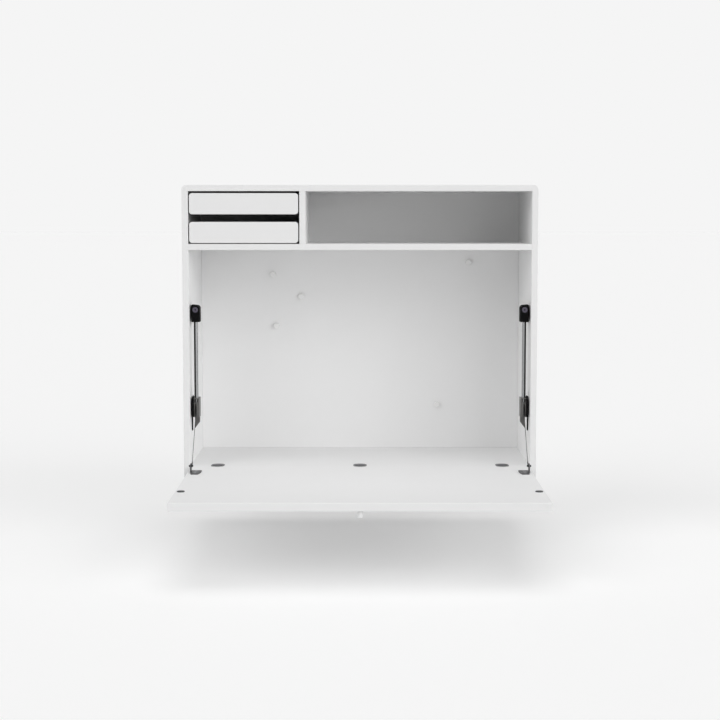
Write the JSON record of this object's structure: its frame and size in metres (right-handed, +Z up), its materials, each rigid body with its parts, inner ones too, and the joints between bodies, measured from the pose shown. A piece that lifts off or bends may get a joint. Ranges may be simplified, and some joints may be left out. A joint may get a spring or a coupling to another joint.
{
  "type": "fold down wall desk",
  "caption": "Wall cabinet desk with rounded outer corners, two sliding trays, an open shelf, a magnetic back and a fold-down flap on cable stays as worktop.",
  "frame": {"origin": "middle of the wall rail's row of fixing holes, on the wall's surface", "axes": "+X to the right seen from the front, +Y into the wall, +Z up; modelled with the flap open"},
  "size_m": [0.952, 0.942, 0.8],
  "materials": {
    "white_lacquer": "satin lacquer on board",
    "back_lacquer": "satin lacquer on thin board",
    "notice_sheet": "satin powder coat",
    "beech_dowel": "plain",
    "rail_aluminium": "mill finish",
    "runner_plastic": "moulded",
    "tray_plastic": "fine moulded grain",
    "hinge_zinc": "satin nickel",
    "stay_plastic": "moulded",
    "guide_zinc": "grey lacquered casting",
    "tube_steel": "drawn",
    "spring_steel": "drawn",
    "piston_plastic": "moulded",
    "cable_steel": "stranded",
    "catch_magnet": "ground",
    "strike_disc": "matt black",
    "bracket_zinc": "zinc plated",
    "magnet_button": "moulded",
    "knob_white": "satin",
    "screw_steel": "zinc plated"
  },
  "bodies": {
    "cabinet": {"back_board": "back_lacquer", "bottom_panel": "white_lacquer", "cabinet_rail": "rail_aluminium", "cabinet_rail_screws": "screw_steel", "cap_magnet_left": "catch_magnet", "cap_magnet_right": "catch_magnet", "carcass_dowels": "beech_dowel", "divider": "white_lacquer", "guide_base_left": "stay_plastic", "guide_base_right": "stay_plastic", "hinge_cup_left": "hinge_zinc", "hinge_cup_middle": "hinge_zinc", "hinge_cup_right": "hinge_zinc", "hinge_cup_screws": "screw_steel", "hinge_pins": "hinge_zinc", "mitre_splines": "beech_dowel", "note_magnets": "magnet_button", "notice_sheet": "notice_sheet", "runner_lower_left": "runner_plastic", "runner_lower_right": "runner_plastic", "runner_screws": "screw_steel", "runner_upper_left": "runner_plastic", "runner_upper_right": "runner_plastic", "shelf": "white_lacquer", "side_panel_left": "white_lacquer", "side_panel_right": "white_lacquer", "stay_cable_left": "cable_steel", "stay_cable_right": "cable_steel", "stay_cap_left": "stay_plastic", "stay_cap_right": "stay_plastic", "stay_guide_left": "guide_zinc", "stay_guide_right": "guide_zinc", "stay_screws": "screw_steel", "stay_spring_left": "spring_steel", "stay_spring_right": "spring_steel", "stay_tube_left": "tube_steel", "stay_tube_right": "tube_steel", "top_panel": "white_lacquer", "wall_rail": "rail_aluminium"},
    "flap": {"flap_panel": "white_lacquer", "hinge_leaf_left": "hinge_zinc", "hinge_leaf_middle": "hinge_zinc", "hinge_leaf_right": "hinge_zinc", "hinge_leaf_screws": "screw_steel", "flap_bracket_left": "bracket_zinc", "flap_bracket_right": "bracket_zinc", "cable_rivets": "screw_steel", "bracket_screws": "screw_steel", "strike_disc_left": "strike_disc", "strike_disc_right": "strike_disc", "knob": "knob_white", "knob_stud": "screw_steel"},
    "tray_upper": {"tray_front_upper": "white_lacquer", "tray_box_upper": "tray_plastic", "tray_screws_upper": "white_lacquer"},
    "tray_lower": {"tray_front_lower": "white_lacquer", "tray_box_lower": "tray_plastic", "tray_screws_lower": "white_lacquer"},
    "piston_left": {"stay_piston_left": "piston_plastic"},
    "piston_right": {"stay_piston_right": "piston_plastic"}
  },
  "joints": [
    {"name": "flap_hinge", "type": "hinge", "parent": "cabinet", "child": "flap", "pos_m": [0, -0.36, -0.5478], "axis": [-1, 0, 0], "range_deg": [0, 90], "deforming": ["stay_cable_left", "stay_cable_right"]},
    {"name": "tray_upper_slide", "type": "slide", "parent": "cabinet", "child": "tray_upper", "axis": [0, -1, 0], "range_m": [0, 0.28]},
    {"name": "tray_lower_slide", "type": "slide", "parent": "cabinet", "child": "tray_lower", "axis": [0, -1, 0], "range_m": [0, 0.28]},
    {"name": "stay_left_slide", "type": "slide", "parent": "cabinet", "child": "piston_left", "axis": [0, 0, 1], "range_m": [0, 0.16], "deforming": ["stay_spring_left", "stay_cable_left"]},
    {"name": "stay_right_slide", "type": "slide", "parent": "cabinet", "child": "piston_right", "axis": [0, 0, 1], "range_m": [0, 0.16], "deforming": ["stay_spring_right", "stay_cable_right"]}
  ],
  "couplings": [
    {"joint": "stay_left_slide", "follows": "flap_hinge", "m_per_rad": 0.09512},
    {"joint": "stay_right_slide", "follows": "flap_hinge", "m_per_rad": 0.09512}
  ]
}
